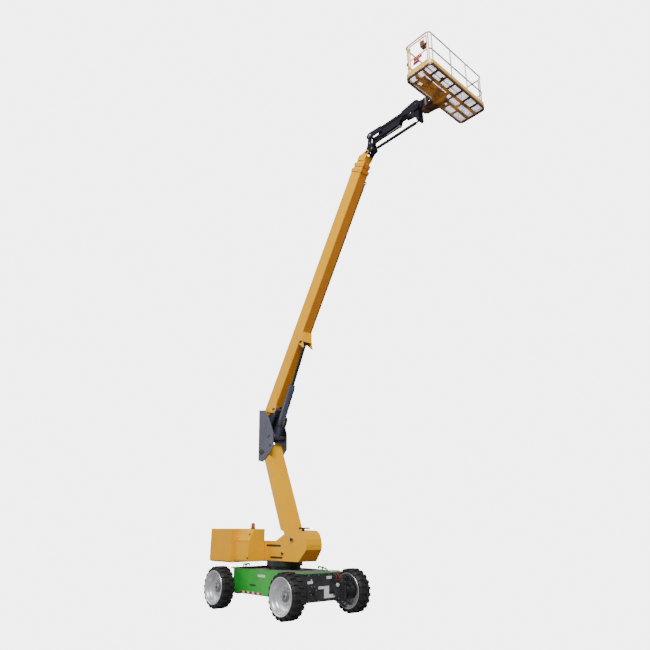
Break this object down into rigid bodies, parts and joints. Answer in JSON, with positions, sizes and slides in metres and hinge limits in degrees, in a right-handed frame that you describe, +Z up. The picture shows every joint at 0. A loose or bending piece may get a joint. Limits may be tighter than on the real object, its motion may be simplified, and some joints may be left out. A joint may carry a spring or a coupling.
{
  "type": "articulated and telescopic boom lift",
  "caption": "Self-propelled boom lift on rubber tyres: slewing turntable, folding riser, telescopic boom, levelled jib and a railed work platform.",
  "frame": {"origin": "on the ground under the slewing axis, midway between the axles", "axes": "+X to the front of the chassis, +Y to its left, +Z up"},
  "size_m": [9.21, 2.589, 13.99],
  "materials": {
    "charcoal_paint": "satin dark charcoal paint",
    "green_paint": "gloss bright green paint",
    "black_steel": "black paint over steel",
    "yellow_paint": "gloss golden yellow paint",
    "yellow_casting": "golden yellow paint over cast iron",
    "slate_paint": "satin blue-grey paint",
    "rod_chrome": "polished hard chrome",
    "orange_paint": "golden orange paint, shaded below",
    "grey_tube": "satin grey paint",
    "floor_grating": "bare expanded aluminium",
    "tyre_rubber": "black rubber, dusty in the grooves",
    "silver_paint": "silver white wheel paint",
    "amber_lens": "amber plastic lens",
    "dark_plastic": "dark moulded plastic",
    "brown_plastic": "dark brown moulded plastic"
  },
  "bodies": {
    "chassis": {"chassis_frame": "charcoal_paint", "battery_pack": "dark_plastic", "side_panel_right": "green_paint", "side_panel_left": "green_paint", "chassis_deck": "green_paint", "front_axle": "charcoal_paint", "rear_axle": "charcoal_paint", "slew_bearing": "black_steel"},
    "knuckle_right": {"knuckle_right": "charcoal_paint"},
    "knuckle_left": {"knuckle_left": "charcoal_paint"},
    "tie_rod": {"tie_rod": "black_steel"},
    "turntable": {"slew_ring": "black_steel", "turntable_frame": "yellow_paint", "nose_rest": "black_steel", "counterweight": "yellow_casting", "cover_right": "yellow_paint", "cover_left": "yellow_paint", "hydraulic_unit": "slate_paint", "power_unit": "dark_plastic", "beacon": "amber_lens"},
    "door_right": {"door_right": "yellow_paint"},
    "door_left": {"door_left": "yellow_paint"},
    "riser": {"riser": "yellow_paint"},
    "riser_cylinder_barrel": {"riser_cylinder_barrel": "slate_paint"},
    "riser_cylinder_rod": {"riser_cylinder_rod": "rod_chrome"},
    "upright": {"upright": "slate_paint"},
    "lift_cylinder_barrel": {"lift_cylinder_barrel": "slate_paint"},
    "lift_cylinder_rod": {"lift_cylinder_rod": "rod_chrome"},
    "boom_base": {"boom_base": "yellow_paint"},
    "boom_mid": {"boom_mid": "yellow_paint"},
    "boom_fly": {"boom_fly": "yellow_paint"},
    "jib_base": {"jib_base": "slate_paint"},
    "jib_arm": {"jib_arm": "slate_paint"},
    "jib_link": {"jib_link": "slate_paint"},
    "jib_cylinder_barrel": {"jib_cylinder_barrel": "slate_paint"},
    "jib_cylinder_rod": {"jib_cylinder_rod": "rod_chrome"},
    "platform_head": {"platform_head": "slate_paint"},
    "platform": {"platform_frame": "orange_paint", "platform_floor": "floor_grating", "toe_board": "yellow_paint", "platform_rails": "grey_tube", "control_console": "brown_plastic"},
    "platform_gate": {"platform_gate": "yellow_paint"},
    "wheel_front_right": {"rim_front_right": "silver_paint", "tyre_front_right": "tyre_rubber"},
    "wheel_front_left": {"rim_front_left": "silver_paint", "tyre_front_left": "tyre_rubber"},
    "wheel_rear_right": {"rim_rear_right": "silver_paint", "tyre_rear_right": "tyre_rubber"},
    "wheel_rear_left": {"rim_rear_left": "silver_paint", "tyre_rear_left": "tyre_rubber"}
  },
  "joints": [
    {"name": "turntable_slew", "type": "hinge", "parent": "chassis", "child": "turntable", "pos_m": [0, 0, 1.11], "axis": [0, 0, 1], "continuous": true},
    {"name": "steer_right", "type": "hinge", "parent": "chassis", "child": "knuckle_right", "pos_m": [1.49, -0.83, 0.535], "axis": [0, 0, 1], "range_deg": [-35, 35]},
    {"name": "steer_left", "type": "hinge", "parent": "chassis", "child": "knuckle_left", "pos_m": [1.49, 0.83, 0.535], "axis": [0, 0, 1], "range_deg": [-35, 35]},
    {"name": "tie_rod_swing", "type": "hinge", "parent": "knuckle_right", "child": "tie_rod", "pos_m": [1.23, -0.83, 0.32], "axis": [0, 0, 1], "range_deg": [-35, 35]},
    {"name": "spin_front_right", "type": "hinge", "parent": "knuckle_right", "child": "wheel_front_right", "pos_m": [1.49, -1.102, 0.535], "axis": [0, 1, 0], "continuous": true},
    {"name": "spin_front_left", "type": "hinge", "parent": "knuckle_left", "child": "wheel_front_left", "pos_m": [1.49, 1.102, 0.535], "axis": [0, 1, 0], "continuous": true},
    {"name": "spin_rear_right", "type": "hinge", "parent": "chassis", "child": "wheel_rear_right", "pos_m": [-1.49, -1.102, 0.535], "axis": [0, 1, 0], "continuous": true},
    {"name": "spin_rear_left", "type": "hinge", "parent": "chassis", "child": "wheel_rear_left", "pos_m": [-1.49, 1.102, 0.535], "axis": [0, 1, 0], "continuous": true},
    {"name": "door_right_lift", "type": "hinge", "parent": "turntable", "child": "door_right", "pos_m": [-0.84, -0.875, 1.739], "axis": [-1, 0, 0], "range_deg": [0, 85]},
    {"name": "door_left_lift", "type": "hinge", "parent": "turntable", "child": "door_left", "pos_m": [-0.84, 0.875, 1.569], "axis": [1, 0, 0], "range_deg": [0, 85]},
    {"name": "riser_raise", "type": "hinge", "parent": "turntable", "child": "riser", "pos_m": [0.686, 0, 1.783], "axis": [0, 1, 0], "range_deg": [-60, 0]},
    {"name": "upright_level", "type": "hinge", "parent": "riser", "child": "upright", "pos_m": [-0.878, 0, 4.21], "axis": [0, 1, 0], "range_deg": [0, 60]},
    {"name": "riser_cylinder_swing", "type": "hinge", "parent": "turntable", "child": "riser_cylinder_barrel", "pos_m": [0.305, 0, 1.433], "axis": [0, 1, 0], "range_deg": [-59.3, 0.5]},
    {"name": "riser_cylinder_stroke", "type": "slide", "parent": "riser_cylinder_barrel", "child": "riser_cylinder_rod", "axis": [-0.2727, 0, 0.9621], "range_m": [-0.52232, 0.005]},
    {"name": "boom_raise", "type": "hinge", "parent": "upright", "child": "boom_base", "pos_m": [-0.52318, 0, 5.46697], "axis": [0, -1, 0], "range_deg": [-60, 13]},
    {"name": "lift_cylinder_swing", "type": "hinge", "parent": "upright", "child": "lift_cylinder_barrel", "pos_m": [-0.55, 0, 4.65], "axis": [0, -1, 0], "range_deg": [-48.56, 10.91]},
    {"name": "lift_cylinder_stroke", "type": "slide", "parent": "lift_cylinder_barrel", "child": "lift_cylinder_rod", "axis": [0.4267, 0, 0.9044], "range_m": [-0.61005, 0.13609]},
    {"name": "boom_extend", "type": "slide", "parent": "boom_base", "child": "boom_mid", "axis": [0.5041, 0, 0.8637], "range_m": [0, 5.8]},
    {"name": "fly_extend", "type": "slide", "parent": "boom_mid", "child": "boom_fly", "axis": [0.5041, 0, 0.8637], "range_m": [0, 5.8]},
    {"name": "jib_level", "type": "hinge", "parent": "boom_fly", "child": "jib_base", "pos_m": [3.56, 0, 12.6], "axis": [0, -1, 0], "range_deg": [-13, 60]},
    {"name": "jib_raise", "type": "hinge", "parent": "jib_base", "child": "jib_arm", "pos_m": [3.69, 0, 13.11], "axis": [0, -1, 0], "range_deg": [-45, 45]},
    {"name": "jib_link_swing", "type": "hinge", "parent": "jib_base", "child": "jib_link", "pos_m": [3.745, 0, 12.64], "axis": [0, -1, 0], "range_deg": [-45, 45]},
    {"name": "platform_level", "type": "hinge", "parent": "jib_arm", "child": "platform_head", "pos_m": [5.42, 0, 13.12], "axis": [0, -1, 0], "range_deg": [-45, 45]},
    {"name": "jib_cylinder_swing", "type": "hinge", "parent": "jib_base", "child": "jib_cylinder_barrel", "pos_m": [3.662, 0, 12.858], "axis": [0, -1, 0], "range_deg": [-44.06, 44.06]},
    {"name": "jib_cylinder_stroke", "type": "slide", "parent": "jib_cylinder_barrel", "child": "jib_cylinder_rod", "axis": [0.999, 0, 0.0445], "range_m": [-0.188, 0.188]},
    {"name": "platform_rotate", "type": "hinge", "parent": "platform_head", "child": "platform", "pos_m": [5.7, 0, 13], "axis": [0, 0, 1], "range_deg": [-90, 90]},
    {"name": "gate_swing", "type": "hinge", "parent": "platform", "child": "platform_gate", "pos_m": [6.16, -1.187, 13.4], "axis": [0, 0, 1], "range_deg": [-90, 0]}
  ],
  "couplings": [
    {"joint": "steer_left", "follows": "steer_right", "ratio": 1},
    {"joint": "tie_rod_swing", "follows": "steer_right", "ratio": -1},
    {"joint": "upright_level", "follows": "riser_raise", "ratio": -1},
    {"joint": "riser_cylinder_swing", "follows": "riser_raise", "ratio": 0.98},
    {"joint": "riser_cylinder_stroke", "follows": "riser_raise", "m_per_rad": 0.494},
    {"joint": "lift_cylinder_swing", "follows": "boom_raise", "ratio": 0.80096},
    {"joint": "lift_cylinder_stroke", "follows": "boom_raise", "m_per_rad": 0.57778},
    {"joint": "fly_extend", "follows": "boom_extend", "ratio": 1},
    {"joint": "jib_level", "follows": "boom_raise", "ratio": -1},
    {"joint": "jib_link_swing", "follows": "jib_raise", "ratio": 1},
    {"joint": "platform_level", "follows": "jib_raise", "ratio": -1},
    {"joint": "jib_cylinder_swing", "follows": "jib_raise", "ratio": 0.968},
    {"joint": "jib_cylinder_stroke", "follows": "jib_raise", "m_per_rad": 0.233}
  ]
}
